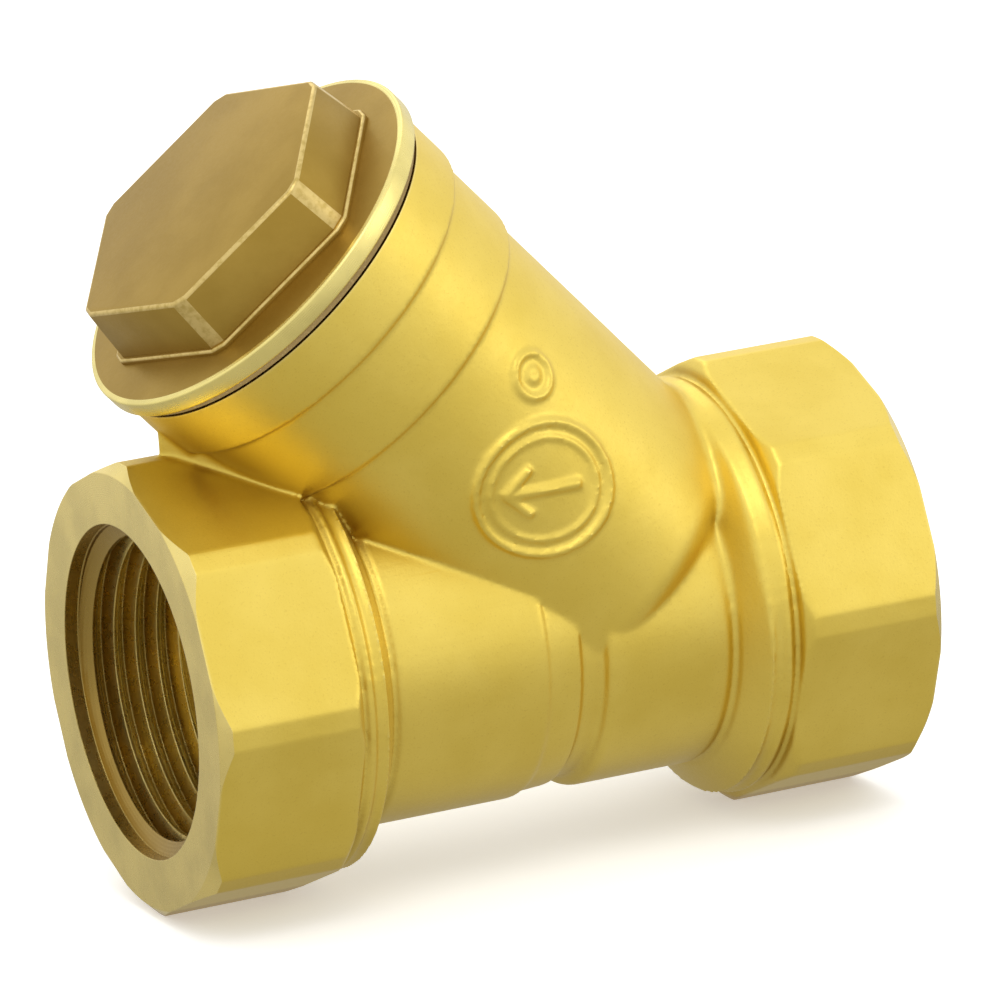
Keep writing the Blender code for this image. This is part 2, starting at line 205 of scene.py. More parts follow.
# Gasket and screen
GAP = 0.15 * MM
GASKET_INNER = 16.7 * MM
GASKET_OUTER = 19.45 * MM
GASKET_THICKNESS = 0.75 * MM
GASKET_EDGE = 0.2 * MM
SCREEN_RADIUS = 12.2 * MM
SCREEN_WALL = 0.4 * MM
SCREEN_LOW = 9.3 * MM
SCREEN_HIGH = 53.5 * MM
HOLE_RADIUS = 1.7 * MM
HOLE_ROWS = 7
HOLES_PER_ROW = 10
HOLE_CLEAR = 1.2 * MM
PIN_LENGTH = 3.0 * MM
PIN_SEGMENTS = 24
RING_HEIGHT = 3.0 * MM
RING_WALL = 0.45 * MM
RING_EDGE = 0.18 * MM
RING_OVERHANG = 0.3 * MM
TUBE_EDGE = 0.08 * MM
WIRE_RADIUS = 0.13 * MM
WIRE_END = 0.4 * MM
WIRES_AROUND = 64 if FINE else 32
WIRES_ALONG = 40 if FINE else 20
CLOTH_RADIUS = SCREEN_RADIUS - SCREEN_WALL - GAP - 2.2 * WIRE_RADIUS

# Raised marks on the branch: an oval ring with a flow arrow, and a small ring
MARK_HEIGHT = 23.9 * MM
MARK_TURN = math.radians(-1.0)
MARK_HALF_LENGTH = 7.2 * MM
MARK_HALF_WIDTH = 6.6 * MM
DOT_HEIGHT = 32.1 * MM
DOT_TURN = math.radians(23.3)
DOT_RADIUS = 2.2 * MM
BEAD_WIDTH = 0.9 * MM
BEAD_HEIGHT = 0.55 * MM
INNER_RING_IN = 1.5 * MM
ARROW_TAIL = -3.8
ARROW_TIP = 4.3
ARROW_STEP = 0.4
ARROW_SPREAD = 0.34

# Camera, at the photograph's viewing angle
CAMERA_PLACE = (-0.34957, -0.79438, 0.23860 + RUN_HEIGHT)
CAMERA_RIGHT = (0.904456, -0.420524, -0.071550)
CAMERA_UP = (0.169329, 0.199991, 0.965055)
CAMERA_LENS = 325.9

# Studio: what the metal sees of the room and of the table
ROOM_LOW = (0.86, 0.84, 0.80)
ROOM_MIDDLE = (1.0, 0.99, 0.97)
ROOM_HIGH = (1.0, 1.0, 1.0)
ROOM_STRENGTH = 1.0
# What the metal sees of the floor is painted: dim shade near the object, brighter far away.
FLOOR_DIM = (0.54, 0.52, 0.47)
FLOOR_BRIGHT = (0.84, 0.83, 0.80)
FLOOR_NEAR = 0.03
FLOOR_LIFT = 0.35
FLOOR_FAR = 0.35
FLOOR_HALF = 3.0

# Pitch of the fine rings that a lathe leaves, and stretch of rolled steel's scratches
LATHE_PITCH = 0.22 * MM
SCRATCH_STRETCH = 16


# ---------------------------------------------------------------- node helpers


class Nodes:
    """A short way to write the nodes of a material or a world."""

    def __init__(self, owner):
        owner.use_nodes = True
        self.owner = owner
        self.tree = owner.node_tree
        self.shader = self.tree.nodes.get("Principled BSDF")

    def add(self, kind, inputs=None, **settings):
        node = self.tree.nodes.new(kind)
        for key, value in settings.items():
            setattr(node, key, value)
        for key, value in (inputs or {}).items():
            self.put(node.inputs[key], value)
        return node

    def put(self, socket, value):
        if isinstance(value, bpy.types.NodeSocket):
            self.tree.links.new(value, socket)
        else:
            socket.default_value = value

    def math(self, operation, first, second=0.0, clamp=False):
        node = self.add("ShaderNodeMath", operation=operation, use_clamp=clamp)
        self.put(node.inputs[0], first)
        self.put(node.inputs[1], second)
        return node.outputs[0]

    def mix(self, factor, first, second):
        node = self.add("ShaderNodeMix", data_type="RGBA")
        self.put(node.inputs["Factor"], factor)
        self.put(node.inputs["A"], first)
        self.put(node.inputs["B"], second)
        return node.outputs["Result"]

    def noise(self, scale, detail=3.0, rough=0.55, vector=None):
        node = self.add("ShaderNodeTexNoise", {"Scale": scale, "Detail": detail, "Roughness": rough})
        self.put(node.inputs["Vector"], vector or self.place())
        return node.outputs["Fac"]

    def place(self):
        return self.add("ShaderNodeTexCoord").outputs["Object"]

    def ramp(self, value, low, high):
        node = self.add("ShaderNodeMapRange", {"From Min": low, "From Max": high})
        node.interpolation_type = "SMOOTHSTEP"
        self.put(node.inputs["Value"], value)
        return node.outputs["Result"]

    def edges(self, radius):
        """High on convex edges and low on flat or hollow places."""
        node = self.add("ShaderNodeAmbientOcclusion", {"Distance": radius}, inside=True, samples=6)
        return self.math("SUBTRACT", 1.0, node.outputs["AO"], clamp=True)

    def hollows(self, distance):
        """High deep in creases and low on open surfaces."""
        node = self.add("ShaderNodeAmbientOcclusion", {"Distance": distance}, samples=6)
        return self.math("SUBTRACT", 1.0, node.outputs["AO"], clamp=True)

    def bump(self, height, strength, distance, normal=None):
        node = self.add("ShaderNodeBump", {"Strength": strength, "Distance": distance})
        self.put(node.inputs["Height"], height)
        if normal is not None:
            self.put(node.inputs["Normal"], normal)
        return node.outputs["Normal"]

    def soft_edges(self, radius):
        return self.add("ShaderNodeBevel", {"Radius": radius}, samples=4).outputs["Normal"]

    def finish(self, **inputs):
        for key, value in inputs.items():
            self.put(self.shader.inputs[key.replace("_", " ")], value)
        return self.owner

    def glossy_ray(self):
        """1 for what polished metal reflects, 0 for what the camera or a matt surface sees."""
        return self.add("ShaderNodeLightPath").outputs["Is Glossy Ray"]


def material_nodes(name):
    return Nodes(bpy.data.materials.new(name))


def forged_brass():
    """Blasted forging skin: fine grain and faint clouds, with painted shade in hollows and creases and a
    painted highlight on convex edges.
    """
    n = material_nodes("forged_brass")
    clouds = n.ramp(n.noise(90.0, 4.0), 0.3, 0.7)
    grain = n.noise(2600.0, 2.0, 0.7)
    specks = n.ramp(n.noise(5200.0, 1.0), 0.60, 0.74)
    colour = n.mix(clouds, (0.82, 0.615, 0.110, 1), (0.89, 0.685, 0.145, 1))
    colour = n.mix(n.math("MULTIPLY", specks, 0.30), colour, (0.66, 0.46, 0.08, 1))
    # Painted shade: the metal is darkened in wide hollows and in tight creases, where shade falls.
    colour = n.mix(n.ramp(n.hollows(14.0 * MM), 0.20, 0.70), colour, (0.61, 0.45, 0.09, 1))
    colour = n.mix(n.ramp(n.hollows(2.4 * MM), 0.30, 0.70), colour, (0.47, 0.30, 0.045, 1))
    # Painted highlight: convex edges are lightened towards pale gold.
    colour = n.mix(n.ramp(n.edges(0.7 * MM), 0.34, 0.65), colour, (0.98, 0.85, 0.38, 1))
    rough = n.math("ADD", n.math("MULTIPLY", grain, 0.16), 0.33)
    skin = n.bump(n.noise(420.0, 3.0), 0.10, 0.25 * MM)
    skin = n.bump(grain, 0.30, 0.05 * MM, skin)
    return n.finish(Base_Color=colour, Roughness=rough, Metallic=1.0, Normal=skin)


def cap_brass():
    """The cap's browner forging skin, with painted shade in its hollows and a painted highlight on its
    arrises.
    """
    n = material_nodes("cap_brass")
    clouds = n.ramp(n.noise(120.0, 4.0), 0.3, 0.7)
    grain = n.noise(3000.0, 2.0, 0.7)
    colour = n.mix(clouds, (0.38, 0.245, 0.045, 1), (0.44, 0.29, 0.060, 1))
    # Painted shade in the cap's hollows.
    colour = n.mix(n.ramp(n.hollows(1.2 * MM), 0.40, 0.90), colour, (0.30, 0.19, 0.04, 1))
    # Painted highlight on the cap's convex arrises.
    colour = n.mix(n.ramp(n.edges(0.5 * MM), 0.35, 0.62), colour, (0.98, 0.78, 0.40, 1))
    rough = n.math("ADD", n.math("MULTIPLY", grain, 0.15), 0.36)
    skin = n.bump(n.noise(500.0, 3.0), 0.08, 0.2 * MM)
    skin = n.bump(grain, 0.22, 0.04 * MM, skin)
    return n.finish(Base_Color=colour, Roughness=rough, Metallic=1.0, Normal=skin)


def arris_highlight_brass():
    """Pale metal, in patches, painted on the cap's trimmed corners and top bevels as a highlight."""
    n = material_nodes("arris_highlight_brass")
    # Painted highlight: two pale metal tones in patches.
    highlight_patches = n.ramp(n.noise(1500.0, 4.0), 0.30, 0.60)
    colour = n.mix(highlight_patches, (0.55, 0.40, 0.12, 1), (0.70, 0.53, 0.20, 1))
    rough = n.math("ADD", n.math("MULTIPLY", n.noise(2400.0), 0.14), 0.30)
    skin = n.bump(n.noise(1500.0, 3.0), 0.18, 0.03 * MM)
    return n.finish(Base_Color=colour, Roughness=rough, Metallic=1.0, Normal=skin)


def darker(colour, factor):
    return tuple(factor * channel for channel in colour[:3]) + (1,)


def turned_brass(name, centre, axis, colour, inside=0.0):
    """Lathe-cut brass: fine rings about an axis and painted shade in hollows. Where inside is a radius, metal
    within it is also darkened with painted shade near the run's ends."""
    n = material_nodes(name)
    offset = n.add("ShaderNodeVectorMath", {1: centre}, operation="SUBTRACT")
    n.put(offset.inputs[0], n.place())
    along = n.add("ShaderNodeVectorMath", {1: axis}, operation="DOT_PRODUCT")
    n.put(along.inputs[0], offset.outputs["Vector"])
    length = n.add("ShaderNodeVectorMath", operation="LENGTH")
    n.put(length.inputs[0], offset.outputs["Vector"])
    square = n.math("SUBTRACT", n.math("POWER", length.outputs["Value"], 2.0),
                    n.math("POWER", along.outputs["Value"], 2.0))
    radius = n.math("SQRT", n.math("MAXIMUM", square, 0.0))
    travel = n.math("ADD", radius, along.outputs["Value"])
    rings = n.math("SINE", n.math("MULTIPLY", travel, 2 * math.pi / LATHE_PITCH))
    uneven = n.noise(900.0, 3.0)
    colours = n.mix(n.ramp(n.noise(150.0, 4.0), 0.35, 0.7), colour, darker(colour, 0.84))
    # Painted shade in hollows, such as the thread valleys.
    colours = n.mix(n.ramp(n.hollows(1.6 * MM), 0.4, 0.9), colours, (0.40, 0.24, 0.06, 1))
    # Painted shade: the port's inside is darkened near the mouth, where the first thread flank would catch
    # outside light.
    if inside:
        within = n.ramp(radius, inside + 0.05 * MM, inside - 0.05 * MM)
        from_middle = n.math("ABSOLUTE", along.outputs["Value"])
        near_mouth = n.ramp(from_middle, HALF_RUN - 5 * MM, HALF_RUN - 2 * MM)
        colours = n.mix(n.math("MULTIPLY", within, near_mouth), colours, (0.36, 0.24, 0.06, 1))
    rough = n.math("ADD", n.math("MULTIPLY", uneven, 0.16), 0.20)
    height = n.math("ADD", n.math("MULTIPLY", rings, 0.5), n.math("MULTIPLY", uneven, 0.6))
    skin = n.bump(height, 0.22, 0.02 * MM, n.soft_edges(0.15 * MM))
    return n.finish(Base_Color=colours, Roughness=rough, Metallic=1.0, Normal=skin)


def gasket_fibre():
    """Pressed fibre sheet with short pale strands in a brown binder."""
    n = material_nodes("gasket_fibre")
    strands = n.ramp(n.noise(3800.0, 3.0, 0.7), 0.55, 0.72)
    colour = n.mix(strands, (0.26, 0.17, 0.05, 1), (0.42, 0.31, 0.12, 1))
    skin = n.bump(n.noise(2400.0, 4.0), 0.35, 0.05 * MM)
    return n.finish(Base_Color=colour, Roughness=0.74, Normal=skin)


def sheet_steel(name, shade, rough):
    """Rolled stainless sheet with fine scratches along the branch."""
    n = material_nodes(name)
    turn = Vector((0, 0, 1)).rotation_difference(BRANCH_AXIS).to_euler()
    stretch = {"Rotation": turn, "Scale": (1, 1, SCRATCH_STRETCH)}
    mapping = n.add("ShaderNodeMapping", stretch, vector_type="TEXTURE")
    n.put(mapping.inputs["Vector"], n.place())
    scratches = n.noise(2600.0, 3.0, 0.6, mapping.outputs["Vector"])
    dull = darker((shade, shade, shade), 0.86)
    colour = n.mix(n.noise(240.0), dull, (shade, shade, 0.97 * shade, 1))
    roughness = n.math("ADD", n.math("MULTIPLY", scratches, 0.22), rough)
    skin = n.bump(scratches, 0.2, 0.02 * MM)
    return n.finish(Base_Color=colour, Roughness=roughness, Metallic=1.0, Normal=skin)


# ---------------------------------------------------------------- mesh helpers


def run_frame():
    """Local Z along the run towards the inlet, origin in the middle of the run."""
    return Matrix.Translation((0, 0, RUN_HEIGHT)) @ Matrix.Rotation(math.pi / 2, 4, "Y")


def outlet_frame():
    """The run's frame turned half a turn, so that local Z points to the outlet."""
    return Matrix.Translation((0, 0, RUN_HEIGHT)) @ Matrix.Rotation(-math.pi / 2, 4, "Y")


def branch_frame():
    """Local Z along the branch, outwards, with the origin on the run's axis."""
    lean = math.pi / 2 - BRANCH_ANGLE
    return Matrix.Translation((BRANCH_X, 0, RUN_HEIGHT)) @ Matrix.Rotation(-lean, 4, "Y")


def new_object(name, mesh, place):
    """A new object whose place is worked into its mesh."""
    mesh.transform(place)
    obj = bpy.data.objects.new(name, mesh)
    bpy.context.scene.collection.objects.link(obj)
    return obj


def from_bmesh(name, solid, place):
    """A new object from a finished bmesh, which is freed."""
    mesh = bpy.data.meshes.new(name)
    solid.to_mesh(mesh)
    solid.free()
    return new_object(name, mesh, place)


def bake(obj):
    """Replace the object's mesh by its evaluated one and drop its modifiers."""
    graph = bpy.context.evaluated_depsgraph_get()
    mesh = bpy.data.meshes.new_from_object(
        obj.evaluated_get(graph), preserve_all_data_layers=True, depsgraph=graph
    )
    obj.modifiers.clear()
    obj.data = mesh
    return obj


def discard(obj):
    bpy.data.objects.remove(obj, do_unlink=True)


def shade(obj, angle=32):
    obj.data.shade_smooth()
    obj.data.set_sharp_from_angle(angle=math.radians(angle))
    return obj


def arc(centre, radius, start, end, steps):
    """Points (radius from the axis, height) on a circular arc, angles in degrees."""
    points = []
    for i in range(steps + 1):
        angle = math.radians(start + (end - start) * i / steps)
        points.append((centre[0] + radius * math.cos(angle), centre[1] + radius * math.sin(angle)))
    return points


def profile_mesh(name, points, closed):
    mesh = bpy.data.meshes.new(name)
    edges = [(i, i + 1) for i in range(len(points) - 1)]
    if closed:
        edges.append((len(points) - 1, 0))
    mesh.from_pydata([(r, 0, z) for r, z in points], edges, [])
    return mesh


def turned(name, points, place, material=None):
    """A solid of revolution; a profile that starts off the axis is a closed loop."""
    closed = points[0][0] > 0
    obj = new_object(name, profile_mesh(name, points, closed), Matrix.Identity(4))
    screw = obj.modifiers.new("turn", "SCREW")
    screw.steps = TURN_SEGMENTS
    screw.render_steps = TURN_SEGMENTS
    screw.use_merge_vertices = True
    screw.merge_threshold = 0.00001
    bake(obj)
    obj.data.transform(place)
    if material:
        obj.data.materials.append(material)
    return shade(obj)


def ridge(name, crest, root, flat, flank, pitch, turns, start, place, material):
    """One helical thread ridge as a closed solid, its base at root and its top at crest."""
    base = flat + (crest - root) * math.tan(flank)
    points = [(root, base), (crest, flat), (crest, -flat), (root, -base)]
    obj = new_object(name, profile_mesh(name, points, True), Matrix.Translation((0, 0, start)))
    screw = obj.modifiers.new("helix", "SCREW")
    screw.steps = THREAD_SEGMENTS
    screw.render_steps = THREAD_SEGMENTS
    screw.screw_offset = pitch
    screw.iterations = turns
    bake(obj)
    helix = bmesh.new()
    helix.from_mesh(obj.data)
    bmesh.ops.holes_fill(helix, edges=[e for e in helix.edges if e.is_boundary], sides=0)
    bmesh.ops.recalc_face_normals(helix, faces=helix.faces)
    helix.to_mesh(obj.data)
    helix.free()
    obj.data.transform(place)
    obj.data.materials.append(material)
    return shade(obj)


def polygon(sides, radius, turn, trim):
    """Corner points of a regular polygon, each corner cut square to its radius at the depth trim."""
    half_cut = trim / math.tan(math.pi / sides)
    points = []
    for i in range(sides):
        angle = turn + 2 * math.pi * i / sides
        out = radius - trim
        for side in (-half_cut, half_cut) if trim else (0,):
            x = out * math.cos(angle) - side * math.sin(angle)
            y = out * math.sin(angle) + side * math.cos(angle)
            points.append((x, y))
    return points


def prism(name, sides, low_radius, high_radius, low, high, turn, place, material=None, trim=0):
    """A prism or a drafted prism between two heights, with one corner at the angle turn."""
    solid = bmesh.new()
    rings = []
    for radius, height in ((low_radius, low), (high_radius, high)):
        corners = polygon(sides, radius, turn, trim)
        rings.append([solid.verts.new((x, y, height)) for x, y in corners])
    count = len(rings[0])
    for i in range(count):
        following = (i + 1) % count
        solid.faces.new((rings[0][i], rings[0][following], rings[1][following], rings[1][i]))
    solid.faces.new(reversed(rings[0]))
    solid.faces.new(rings[1])
    obj = from_bmesh(name, solid, place)
    if material:
        obj.data.materials.append(material)
    return obj


def combine(target, other, operation):
    """Join, cut or intersect target with other, which is used up; each side keeps its materials."""
    step = target.modifiers.new("boolean", "BOOLEAN")
    step.operation = operation
    step.solver = "EXACT"
    step.material_mode = "TRANSFER"
    step.object = other
    bake(target)
    discard(other)
    return target


def merge(name, solids):
    """Put several overlapping solids into one mesh, for a remesh to join."""
    together = bmesh.new()
    for obj in solids:
        together.from_mesh(obj.data)
        discard(obj)
    return from_bmesh(name, together, Matrix.Identity(4))


# ---------------------------------------------------------------- body


def octagon_blank(name, place):
    """An octagonal end a little over length, its inner corners turned off."""
    inner = HALF_RUN - OCTAGON_LENGTH
    outer = HALF_RUN + FORGING_SPARE
    corner = OCTAGON_FLATS / 2 / math.cos(math.pi / 8)
    end = prism(name, 8, corner, corner, inner, outer, 0, place, None, corner - RUN_HEIGHT)
    wide = RUN_HEIGHT + MM
    outline = [(0, outer + MM), (wide, outer + MM), (wide, inner + TURN_OFF + MM)]
    outline += [(RUN_HEIGHT - TURN_OFF - MM, inner - MM), (0, inner - MM)]
    return combine(end, turned(name + "_envelope", outline, place), "INTERSECT")


def run_outline():
    """Outer side of the run between the octagons, from the inlet end to the outlet end."""
    inside = HALF_RUN - OCTAGON_LENGTH / 2
    collar_end = HALF_RUN - OCTAGON_LENGTH - COLLAR_WIDTH
    cone_end = collar_end - CONE_WIDTH
    undercut_end = cone_end - UNDERCUT_WIDTH
    groove_end = HALF_RUN - OCTAGON_LENGTH - GROOVE_WIDTH
    valley_end = collar_end - VALLEY_WIDTH
    flank = [(0, inside), (GROOVE_RADIUS, inside), (GROOVE_RADIUS, groove_end)]
    flank += [(COLLAR_RADIUS, groove_end - GROOVE_WALL), (COLLAR_RADIUS, collar_end)]
    flank += [(VALLEY_RADIUS, collar_end - GROOVE_SLOPE), (VALLEY_RADIUS, valley_end)]
    flank += [(CONE_TOP, valley_end - GROOVE_SLOPE), (CONE_FOOT, cone_end)]
    flank += [(UNDERCUT_RADIUS, cone_end - GROOVE_WALL), (UNDERCUT_RADIUS, undercut_end)]
    flank += [(BARREL_RADIUS, undercut_end - GROOVE_SLOPE)]
    round_centre = BARREL_RADIUS - SHOULDER
    points = list(flank)
    points += arc((round_centre, NECK_RIGHT + SHOULDER), SHOULDER, 0, -80, 8)
    points += [(NECK_RADIUS, NECK_RIGHT - NECK_RIGHT_SLOPE)]
    points += [(NECK_RADIUS, NECK_MIDDLE + NECK_MIDDLE_SLOPE)]
    points += [(RING_RADIUS, NECK_MIDDLE)]
    points += arc((round_centre, NECK_LEFT - SHOULDER), SHOULDER, 60, 0, 6)
    points += [(radius, -height) for radius, height in reversed(flank)]
    return points


def branch_outline():
    """Outer side of the branch from its top, with spare metal, down to its rounded foot."""
    points = [(0, BRANCH_TOP + FORGING_SPARE), (BRANCH_TOP_RADIUS, BRANCH_TOP + FORGING_SPARE)]
    points += [(BRANCH_TOP_RADIUS, BRANCH_STEP_2)]
    points += [(BRANCH_STEP_RADIUS, BRANCH_STEP_2 - BRANCH_STEP_SLOPE)]
    points += [(BRANCH_STEP_RADIUS, BRANCH_STEP_1)]
    points += [(BRANCH_RADIUS, BRANCH_STEP_1 - BRANCH_STEP_SLOPE)]
    foot = (BRANCH_RADIUS - BRANCH_FOOT_ROUND, BRANCH_FOOT + BRANCH_FOOT_ROUND)
    points += arc(foot, BRANCH_FOOT_ROUND, 0, -90, 12)
    points += [(0, BRANCH_FOOT)]
    return points


def web():
    """Upright wedge between the outlet octagon and the branch, one corner towards the outlet."""
    place = Matrix.Translation((WEB_X, 0, RUN_HEIGHT))
    filler = prism("web", 4, WEB_RADIUS, WEB_RADIUS, 0, BRANCH_TOP, 0, place)
    low = BRANCH_TOP - WEB_CLEAR
    above = prism("above_web", 4, WIDE, WIDE, low, low + WIDE, 0, branch_frame())
    return combine(filler, above, "DIFFERENCE")


def on_branch(turn, height, side, rise, lift):
    """A point on the branch: side and rise are measured from a mark's centre on its front."""
    angle = turn - math.pi / 2 + side / BRANCH_RADIUS
    radius = BRANCH_RADIUS + lift
    return Vector((radius * math.cos(angle), radius * math.sin(angle), height + rise))


def bead(name, turn, height, path, closed, width=BEAD_WIDTH, proud=BEAD_HEIGHT):
    """A half-round raised line along a path of (side, rise) points on the branch's front."""
    section = [(-0.5, -0.5), (-0.36, 0.62), (0.0, 1.0), (0.36, 0.62), (0.5, -0.5)]
    count = len(path)
    rings = []
    solid = bmesh.new()
    for i, (side, rise) in enumerate(path):
        before = path[(i - 1) % count] if closed or i else path[0]
        after = path[(i + 1) % count] if closed or i < count - 1 else path[-1]
        along = Vector((after[0] - before[0], after[1] - before[1])).normalized()
        across = Vector((-along.y, along.x)) * width
        ring = []
        for shift, lift in section:
            point = on_branch(turn, height, side + across.x * shift, rise + across.y * shift, lift * proud)
            ring.append(solid.verts.new(point))
        rings.append(ring)
    spans = count if closed else count - 1
    for i in range(spans):
        first, second = rings[i], rings[(i + 1) % count]
        for k in range(len(section)):
            m = (k + 1) % len(section)
            solid.faces.new((first[k], first[m], second[m], second[k]))
    if not closed:
        solid.faces.new(rings[0])
        solid.faces.new(rings[-1])
    bmesh.ops.recalc_face_normals(solid, faces=solid.faces)
    return from_bmesh(name, solid, branch_frame())


def oval(half_length, half_width, steps=72):
    """An oval whose long axis runs level, as (side, rise) points on the branch."""
    points = []
    for i in range(steps):
        angle = 2 * math.pi * i / steps
        points.append(level(half_length * math.cos(angle), half_width * math.sin(angle)))
    return points


def level(along, up):
    """Turn (towards the outlet, up) into (side, rise) on the branch's front."""
    sine, cosine = math.sin(BRANCH_ANGLE), math.cos(BRANCH_ANGLE)
    return (-sine * along + cosine * up, cosine * along + sine * up)


def raised_marks():
    """An oval ring with a plain flow arrow towards the outlet, and a small ring above it."""
    place = (MARK_TURN, MARK_HEIGHT)
    marks = [bead("mark_ring", *place, oval(MARK_HALF_LENGTH, MARK_HALF_WIDTH), True)]
    inner = (MARK_HALF_LENGTH - INNER_RING_IN, MARK_HALF_WIDTH - INNER_RING_IN)
    marks.append(bead("mark_inner_ring", *place, oval(*inner), True, 0.55 * MM, 0.35 * MM))
    shaft = [level((ARROW_TAIL + ARROW_STEP * i) * MM, 0) for i in range(20)]
    marks.append(bead("mark_shaft", *place, shaft, False, 1.1 * MM))
    for sign in (-1, 1):
        barb = [level((ARROW_TIP - ARROW_STEP * i) * MM, sign * ARROW_SPREAD * i * MM) for i in range(8)]
        marks.append(bead("mark_barb", *place, barb, False, 1.0 * MM))
    dot = (DOT_TURN, DOT_HEIGHT)
    marks.append(bead("dot_ring", *dot, oval(DOT_RADIUS, DOT_RADIUS, 40), True, 0.8 * MM, 0.45 * MM))
    marks.append(bead("dot_centre", *dot, oval(0.5 * MM, 0.5 * MM, 16), True, 0.9 * MM, 0.35 * MM))
    return marks


def step_up(value, low, high):
    """0 below low, 1 above high and straight between."""
    return min(1.0, max(0.0, (value - low) / (high - low)))


def soften_foot(body):
    """Blend the branch's inlet side into the run, where the die left no crisp crease."""
    group = body.vertex_groups.new(name="foot")
    for vertex in body.data.vertices:
        x, _, z = vertex.co
        if x < FOOT_START:
            continue
        weight = step_up(x, FOOT_START, FOOT_FULL) * step_up(z - RUN_HEIGHT, 0, FOOT_RISE)
        weight *= 1.0 - step_up(x, FOOT_END - MM, FOOT_END)
        if weight > 0:
            group.add([vertex.index], weight, "REPLACE")
    blend = body.modifiers.new("blend", "SMOOTH")
    blend.factor = 0.5
    blend.iterations = FOOT_PASSES if FINE else FOOT_PASSES // 4
    blend.vertex_group = group.name
    bake(body)


def forging(material):
    """The raw body: solids joined and softened by a remesh, like metal out of a die."""
    solids = [
        turned("run", run_outline(), run_frame()),
        turned("branch", branch_outline(), branch_frame()),
        octagon_blank("inlet_octagon", run_frame()),
        octagon_blank("outlet_octagon", outlet_frame()),
        web(),
    ]
    body = merge("brass_body", solids + raised_marks())
    remesh = body.modifiers.new("join", "REMESH")
    remesh.mode = "VOXEL"
    remesh.voxel_size = VOXEL
    smooth = body.modifiers.new("soften", "SMOOTH")
    smooth.factor = 0.5
    smooth.iterations = 5 if FINE else 2
    bake(body)
    soften_foot(body)
    faces = 2 * len(body.data.polygons)
    if faces > FORGING_FACES:
        thin = body.modifiers.new("thin", "DECIMATE")
        thin.ratio = FORGING_FACES / faces
        bake(body)
    body.data.materials.clear()
    body.data.materials.append(material)
    return shade(body, 60)


def machined_limits(material):
    """Envelope that faces the run's ends and turns their outer corners."""
    face_radius = RUN_HEIGHT - OCTAGON_CHAMFER
    wide = 100 * MM
    ledge = HALF_RUN - OCTAGON_CHAMFER - MM
    half = [(0, HALF_RUN), (face_radius, HALF_RUN), (RUN_HEIGHT + MM, ledge), (wide, ledge)]
    outline = half + [(radius, -height) for radius, height in reversed(half)]
    return turned("machined_limits", outline, run_frame(), material)


def port_bore(name, bore_end, place, material):
    face = HALF_RUN
    relief = face - PORT_DEPTH
    points = [(0, face + MM), (PORT_MOUTH, face + MM), (PORT_MOUTH, face - PORT_LEAD_IN)]
    points += [(PORT_MINOR, face - PORT_LEAD_IN - PORT_LEAD_SLOPE)]
    points += [(PORT_MINOR, relief + PORT_RELIEF_STOP + PORT_RELIEF_SLOPE)]
    points += [(PORT_RELIEF, relief + PORT_RELIEF_STOP), (PORT_RELIEF, relief + PORT_RELIEF_START)]
    points += [(FLOW_RADIUS, relief), (FLOW_RADIUS, bore_end + MM)]
    points += [(FLOW_RADIUS - MM, bore_end), (0, bore_end)]
    return turned(name, points, place, material)


def port_thread(name, place, material):
    start = HALF_RUN - PORT_DEPTH + PORT_THREAD_START
    root = PORT_MINOR - PORT_THREAD_BITE
    return ridge(
        name, PORT_MAJOR, root, PORT_FLAT, PORT_FLANK, PORT_PITCH, PORT_TURNS, start, place, material
    )


def chamber(material):
    mouth = CAP_FEMALE_CREST + SOCKET_MOUTH
    relief = FEMALE_START - RELIEF_BELOW
    relief_radius = CAP_FEMALE_CREST + SOCKET_RELIEF
    points = [(0, BRANCH_TOP + MM), (mouth + MM, BRANCH_TOP + MM)]
    points += [(CAP_FEMALE_MINOR, BRANCH_TOP - (mouth - CAP_FEMALE_MINOR))]
    points += [(CAP_FEMALE_MINOR, relief + RELIEF_HIGH), (relief_radius, relief + RELIEF_LOW)]
    points += [(relief_radius, relief), (CHAMBER_RADIUS, relief - RELIEF_SLOPE)]
    points += [(CHAMBER_RADIUS, CHAMBER_FLOOR), (SEAT_RADIUS, CHAMBER_FLOOR)]
    points += [(SEAT_RADIUS, SEAT_HEIGHT), (SEAT_HOLE, SEAT_HEIGHT)]
    points += [(SEAT_HOLE, SEAT_HOLE_END), (0, SEAT_HOLE_END)]
    return turned("chamber", points, branch_frame(), material)


def voids(run_metal, branch_metal):
    """Everything machined out of the forging, joined into one cutter."""
    inlet = port_bore("inlet_bore", INLET_END, run_frame(), run_metal)
    low = SEAT_UNDERSIDE
    above = prism("above_seat", 4, WIDE, WIDE, low, low + WIDE, 0, branch_frame(), run_metal)
    combine(inlet, above, "DIFFERENCE")
    cutter = chamber(branch_metal)
    combine(cutter, inlet, "UNION")
    combine(cutter, port_bore("outlet_bore", -OUTLET_END, outlet_frame(), run_metal), "UNION")
    combine(cutter, port_thread("inlet_thread", run_frame(), run_metal), "UNION")
    combine(cutter, port_thread("outlet_thread", outlet_frame(), run_metal), "UNION")
    socket = ridge(
        "cap_socket", CAP_FEMALE_CREST, CAP_FEMALE_MINOR - SOCKET_BITE, CAP_FEMALE_FLAT, CAP_FLANK,
        CAP_PITCH, FEMALE_TURNS, FEMALE_START, branch_frame(), branch_metal,
    )
    combine(cutter, socket, "UNION")
    wide = BRANCH_TOP_RADIUS + 3 * MM
    high = BRANCH_TOP + 4 * MM
    top = prism("branch_face", 64, wide, wide, BRANCH_TOP, high, 0, branch_frame(), branch_metal)
    return combine(cutter, top, "UNION")


def make_body(run_metal, branch_metal):
    body = forging(forged_brass())
    combine(body, machined_limits(run_metal), "INTERSECT")
    combine(body, voids(run_metal, branch_metal), "DIFFERENCE")
    shade(body, 34)
    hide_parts("body")
    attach(body, "strainer_body")


# ---------------------------------------------------------------- cap, gasket and screen


